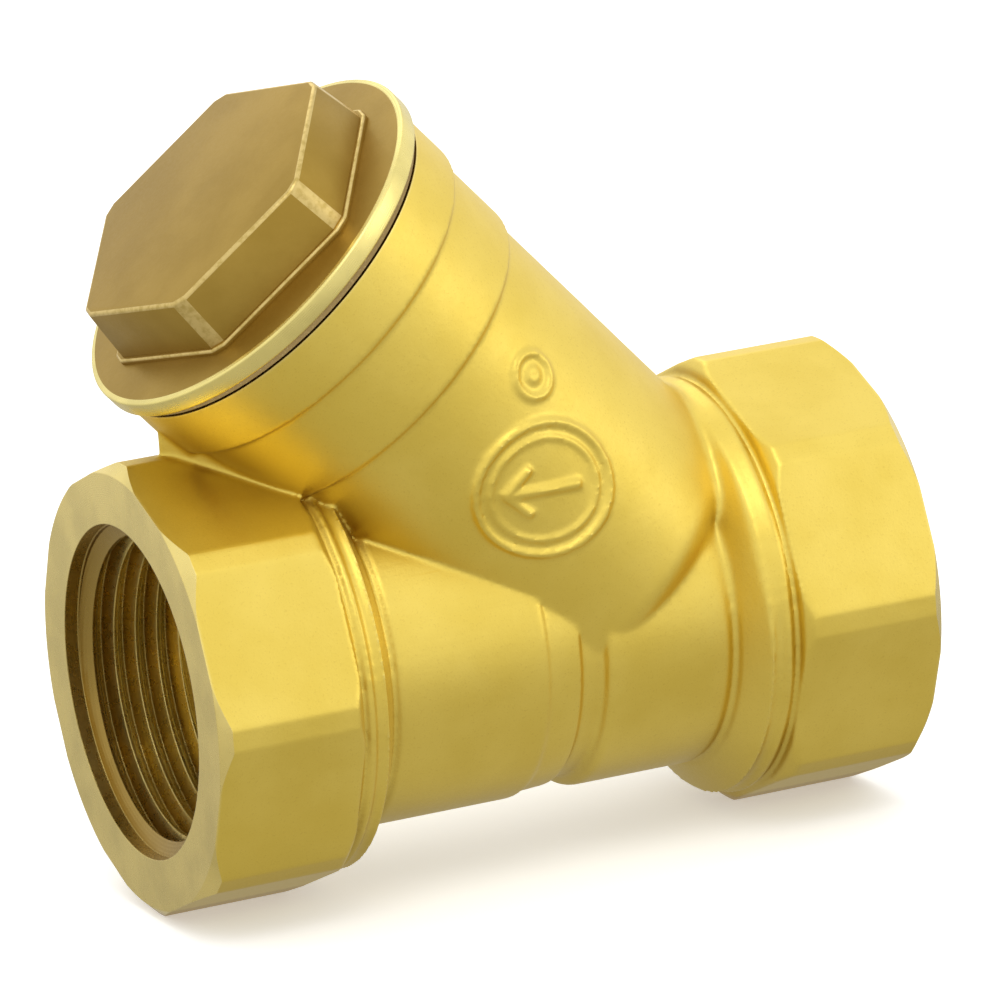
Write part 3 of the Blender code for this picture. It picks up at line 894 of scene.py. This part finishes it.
def cap_outline():
    """Flange, undercut and hollow skirt of the cap, down the outside and up the recess."""
    edge = FLANGE_EDGE
    points = [(0, FLANGE_TOP), (HEX_BASE_RADIUS, FLANGE_TOP)]
    points += [(FLANGE_RADIUS - FLANGE_SLOPE_END, RIM_TOP + FLANGE_SLOPE_LIFT)]
    points += arc((FLANGE_RADIUS - edge, RIM_TOP - edge), edge, 90, 0, 4)
    points += arc((FLANGE_RADIUS - edge, FLANGE_BOTTOM + edge), edge, 0, -90, 4)
    points += [(CAP_MALE_ROOT, FLANGE_BOTTOM), (CAP_MALE_ROOT, SKIRT_END + SKIRT_CHAMFER)]
    points += [(CAP_MALE_ROOT - SKIRT_CHAMFER, SKIRT_END), (RECESS_RADIUS + RECESS_CHAMFER, SKIRT_END)]
    points += [(RECESS_RADIUS, SKIRT_END + RECESS_CHAMFER), (RECESS_RADIUS, RECESS_TOP), (0, RECESS_TOP)]
    return points


def bevel_top(obj, top, width):
    """Round the edges at the height top along the branch, and give them the second material."""
    solid = bmesh.new()
    solid.from_mesh(obj.data)
    edges = [e for e in solid.edges if all(height_on_branch(v.co) > top - 0.01 * MM for v in e.verts)]
    bmesh.ops.bevel(
        solid, geom=edges, offset=width, offset_type="OFFSET", segments=3, profile=0.5, affect="EDGES",
        material=1,
    )
    solid.to_mesh(obj.data)
    solid.free()


def height_on_branch(point):
    return (point - branch_frame().translation).dot(BRANCH_AXIS)


def hexagon(material, arris_highlight):
    """Drafted hexagon with flat-trimmed corners, thin arrises and a low plinth."""
    low = FLANGE_TOP - HEX_SUNK
    plinth_top = FLANGE_TOP + HEX_PLINTH_HEIGHT
    shared = (HEX_TURN, branch_frame(), material, HEX_EDGE_TRIM)
    head = prism("hexagon", 6, HEX_BASE_RADIUS, HEX_TOP_RADIUS, low, HEX_TOP, *shared)
    plinth = prism("plinth", 6, HEX_PLINTH_RADIUS, HEX_PLINTH_RADIUS, low, plinth_top, *shared)
    for obj in (head, plinth):
        obj.data.materials.append(arris_highlight)
    # The narrow trimmed corner faces take the second material, the pale painted highlight.
    for face in head.data.polygons:
        if face.area < NARROW_FACE:
            face.material_index = 1
    # The top bevels also take the pale painted highlight.
    bevel_top(head, HEX_TOP, HEX_TOP_BEVEL)
    bevel_top(plinth, plinth_top, HEX_PLINTH_BEVEL)
    return combine(head, plinth, "UNION")


def paint_rim(cap, slot):
    """Give the faces of the flange's turned rim and the skirt the machined finish."""
    centre = branch_frame().translation
    for face in cap.data.polygons:
        height = height_on_branch(face.center)
        radius = (face.center - centre - BRANCH_AXIS * height).length
        on_rim = radius > FLANGE_RADIUS - 0.5 * MM and height < RIM_TOP + 0.1 * MM
        if on_rim or height < FLANGE_BOTTOM + 0.05 * MM:
            face.material_index = slot


def make_cap(branch_metal):
    skin = cap_brass()
    cap = turned("cap_plug", cap_outline(), branch_frame(), skin)
    combine(cap, hexagon(skin, arris_highlight_brass()), "UNION")
    start = FEMALE_START + CAP_PITCH
    thread = ridge(
        "cap_thread", CAP_MALE_CREST, CAP_MALE_ROOT - PLUG_BITE, CAP_MALE_FLAT, CAP_FLANK,
        CAP_PITCH, MALE_TURNS, start, branch_frame(), branch_metal,
    )
    combine(cap, thread, "UNION")
    names = [material.name for material in cap.data.materials]
    if branch_metal.name not in names:
        cap.data.materials.append(branch_metal)
        names.append(branch_metal.name)
    paint_rim(cap, names.index(branch_metal.name))
    shade(cap, 30)
    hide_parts("cap")
    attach(cap, "cap")


def ring_outline(inner, outer, low, high, edge):
    """Closed outline of a ring with rounded outer edges."""
    points = [(inner, high)]
    points += arc((outer - edge, high - edge), edge, 90, 0, 4)
    points += arc((outer - edge, low + edge), edge, 0, -90, 4)
    points += [(inner, low)]
    return points


def make_gasket():
    low = BRANCH_TOP + GAP
    outline = ring_outline(GASKET_INNER, GASKET_OUTER, low, low + GASKET_THICKNESS, GASKET_EDGE)
    ring = turned("gasket_ring", outline, branch_frame(), gasket_fibre())
    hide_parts("gasket")
    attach(ring, "screen_carrier")


def hole_pins():
    """Radial pins for the support tube's staggered holes."""
    pins = bmesh.new()
    clear = RING_HEIGHT + HOLE_CLEAR + HOLE_RADIUS
    low, high = SCREEN_LOW + clear, SCREEN_HIGH - clear
    for row in range(HOLE_ROWS):
        height = low + (high - low) * row / (HOLE_ROWS - 1)
        for column in range(HOLES_PER_ROW):
            turn = 2 * math.pi * (column + 0.5 * (row % 2)) / HOLES_PER_ROW
            place = Matrix.Translation((0, 0, height)) @ Matrix.Rotation(turn, 4, "Z")
            place = place @ Matrix.Translation((SCREEN_RADIUS, 0, 0)) @ Matrix.Rotation(math.pi / 2, 4, "Y")
            bmesh.ops.create_cone(
                pins, cap_ends=True, segments=PIN_SEGMENTS, radius1=HOLE_RADIUS, radius2=HOLE_RADIUS,
                depth=PIN_LENGTH, matrix=place,
            )
    return from_bmesh("hole_pins", pins, branch_frame())


def crossing(upright, level_wire, side):
    """Where an upright wire and a round one cross; side is 1 on the upright and -1 on the round one."""
    turn = 2 * math.pi * upright / WIRES_AROUND
    low, high = SCREEN_LOW + WIRE_END, SCREEN_HIGH - WIRE_END
    radius = CLOTH_RADIUS + side * WIRE_RADIUS * (-1) ** (upright + level_wire)
    height = low + (high - low) * level_wire / (WIRES_ALONG - 1)
    return (radius * math.cos(turn), radius * math.sin(turn), height)


def woven_wires(material):
    """Fine wire cloth rolled into a tube: upright and round wires pass over each other in turn."""
    curve = bpy.data.curves.new("screen_mesh_wires", "CURVE")
    curve.dimensions = "3D"
    curve.bevel_depth = WIRE_RADIUS
    curve.bevel_resolution = 1
    curve.use_fill_caps = True
    for i in range(WIRES_AROUND):
        add_spline(curve, [crossing(i, j, 1) for j in range(WIRES_ALONG)], False)
    for j in range(WIRES_ALONG):
        add_spline(curve, [crossing(i, j, -1) for i in range(WIRES_AROUND)], True)
    obj = bpy.data.objects.new("screen_mesh_wires", curve)
    bpy.context.scene.collection.objects.link(obj)
    graph = bpy.context.evaluated_depsgraph_get()
    mesh = bpy.data.meshes.new_from_object(obj.evaluated_get(graph))
    discard(obj)
    wires = new_object("screen_mesh_wires", mesh, branch_frame())
    wires.data.materials.clear()
    wires.data.materials.append(material)
    return shade(wires, 80)


def add_spline(curve, points, cyclic):
    spline = curve.splines.new("POLY")
    spline.points.add(len(points) - 1)
    for target, point in zip(spline.points, points):
        target.co = (*point, 1)
    spline.use_cyclic_u = cyclic


def make_screen():
    steel = sheet_steel("sheet_steel", 0.66, 0.24)
    inner = SCREEN_RADIUS - SCREEN_WALL
    outline = ring_outline(inner, SCREEN_RADIUS, SCREEN_LOW, SCREEN_HIGH, TUBE_EDGE)
    tube = turned("screen_support", outline, branch_frame(), steel)
    combine(tube, hole_pins(), "DIFFERENCE")
    shade(tube, 30)
    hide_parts("screen_tube")
    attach(tube, "screen_carrier")

    wires = woven_wires(sheet_steel("wire_steel", 0.60, 0.30))
    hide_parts("screen_mesh")
    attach(wires, "screen_carrier")

    ring_steel = sheet_steel("ring_steel", 0.70, 0.20)
    inner = SCREEN_RADIUS + GAP
    for name, node, low in (
        ("screen_end_lower", "screen_ring_lower", SCREEN_LOW - RING_OVERHANG),
        ("screen_end_upper", "screen_ring_upper", SCREEN_HIGH + RING_OVERHANG - RING_HEIGHT),
    ):
        outline = ring_outline(inner, inner + RING_WALL, low, low + RING_HEIGHT, RING_EDGE)
        ring = turned(name, outline, branch_frame(), ring_steel)
        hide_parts(node)
        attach(ring, "screen_carrier")


# ---------------------------------------------------------------- studio


def camera():
    right, up = Vector(CAMERA_RIGHT), Vector(CAMERA_UP)
    data = bpy.data.cameras.new("camera")
    data.lens = CAMERA_LENS
    data.sensor_width = 36.0
    data.clip_start = 0.05
    data.clip_end = 20.0
    obj = bpy.data.objects.new("camera", data)
    turn = Matrix((right, up, right.cross(up))).transposed().to_4x4()
    obj.matrix_world = Matrix.Translation(CAMERA_PLACE) @ turn
    bpy.context.scene.collection.objects.link(obj)
    bpy.context.scene.camera = obj


def area_light(name, place, aim, size, power, colour=(1, 1, 1)):
    data = bpy.data.lights.new(name, "AREA")
    data.shape = "DISK"
    data.size = size
    data.energy = power
    data.color = colour
    obj = bpy.data.objects.new(name, data)
    place, aim = Vector(place), Vector(aim)
    turn = (aim - place).to_track_quat("-Z", "Y").to_matrix().to_4x4()
    obj.matrix_world = Matrix.Translation(place) @ turn
    bpy.context.scene.collection.objects.link(obj)


def world():
    """White to the camera and the floor; to the metal, a room that brightens from floor to ceiling."""
    n = Nodes(bpy.data.worlds.new("studio"))
    bpy.context.scene.world = n.owner
    outwards = n.add("ShaderNodeTexCoord").outputs["Generated"]
    direction = n.add("ShaderNodeSeparateXYZ", {"Vector": outwards})
    room = n.add("ShaderNodeValToRGB", {"Fac": n.ramp(direction.outputs["Z"], -1.0, 1.0)})
    stops = room.color_ramp.elements
    stops[0].position, stops[0].color = 0.40, (*ROOM_LOW, 1)
    stops[1].position, stops[1].color = 0.85, (*ROOM_HIGH, 1)
    stops.new(0.55).color = (*ROOM_MIDDLE, 1)
    plain = n.add("ShaderNodeBackground", {"Color": (1, 1, 1, 1), "Strength": 1.05})
    seen = n.add("ShaderNodeBackground", {"Color": room.outputs["Color"], "Strength": ROOM_STRENGTH})
    mix = n.add("ShaderNodeMixShader", {"Fac": n.glossy_ray()})
    n.tree.links.new(plain.outputs["Background"], mix.inputs[1])
    n.tree.links.new(seen.outputs["Background"], mix.inputs[2])
    n.tree.links.new(mix.outputs["Shader"], n.tree.nodes["World Output"].inputs["Surface"])


def floor():
    """A matt white table with a faint glow; to the metal it is a glowing sheet with painted shade near the
    object and brighter far away.
    """
    mesh = bpy.data.meshes.new("floor")
    grid = bmesh.new()
    bmesh.ops.create_grid(grid, x_segments=1, y_segments=1, size=FLOOR_HALF)
    grid.to_mesh(mesh)
    grid.free()
    obj = bpy.data.objects.new("floor", mesh)
    n = material_nodes("pale_floor")
    paint = n.mix(n.noise(6.0), (0.93, 0.93, 0.925, 1), (0.96, 0.96, 0.955, 1))
    n.finish(Base_Color=paint, Roughness=0.9, Specular_IOR_Level=0.1, Emission_Color=(1, 1, 1, 1))
    n.put(n.shader.inputs["Emission Strength"], FLOOR_LIFT)
    distance = n.add("ShaderNodeVectorMath", {0: n.place()}, operation="LENGTH").outputs["Value"]
    # Painted reflection of the floor: a glow that is dim with painted shade near the object and brighter far
    # away.
    tone = n.mix(n.ramp(distance, FLOOR_NEAR, FLOOR_FAR), (*FLOOR_DIM, 1), (*FLOOR_BRIGHT, 1))
    glow = n.add("ShaderNodeEmission", {"Color": tone, "Strength": 1.0})
    mix = n.add("ShaderNodeMixShader", {"Fac": n.glossy_ray()})
    n.tree.links.new(n.shader.outputs["BSDF"], mix.inputs[1])
    n.tree.links.new(glow.outputs["Emission"], mix.inputs[2])
    n.tree.links.new(mix.outputs["Shader"], n.tree.nodes["Material Output"].inputs["Surface"])
    mesh.materials.append(n.owner)
    bpy.context.scene.collection.objects.link(obj)


def lights():
    area_light("key", (-0.15, -0.45, 0.85), (0, 0, 0.03), 0.55, 1.2)
    area_light("fill", (0.75, -0.55, 0.35), (0, 0, 0.04), 0.5, 0.5, (1.0, 0.97, 0.92))
    area_light("back", (0.1, 0.6, 0.6), (0, 0, 0.04), 0.5, 0.5)


run_metal = turned_brass("turned_brass_run", (0, 0, RUN_HEIGHT), (1, 0, 0), (0.88, 0.71, 0.25, 1), PORT_MOUTH)
branch_metal = turned_brass(
    "turned_brass_branch", tuple(branch_frame().translation), tuple(BRANCH_AXIS), (0.92, 0.78, 0.28, 1)
)
make_body(run_metal, branch_metal)
make_cap(branch_metal)
make_gasket()
make_screen()
floor()
world()
camera()
bpy.context.scene.view_settings.view_transform = "Standard"
lights()
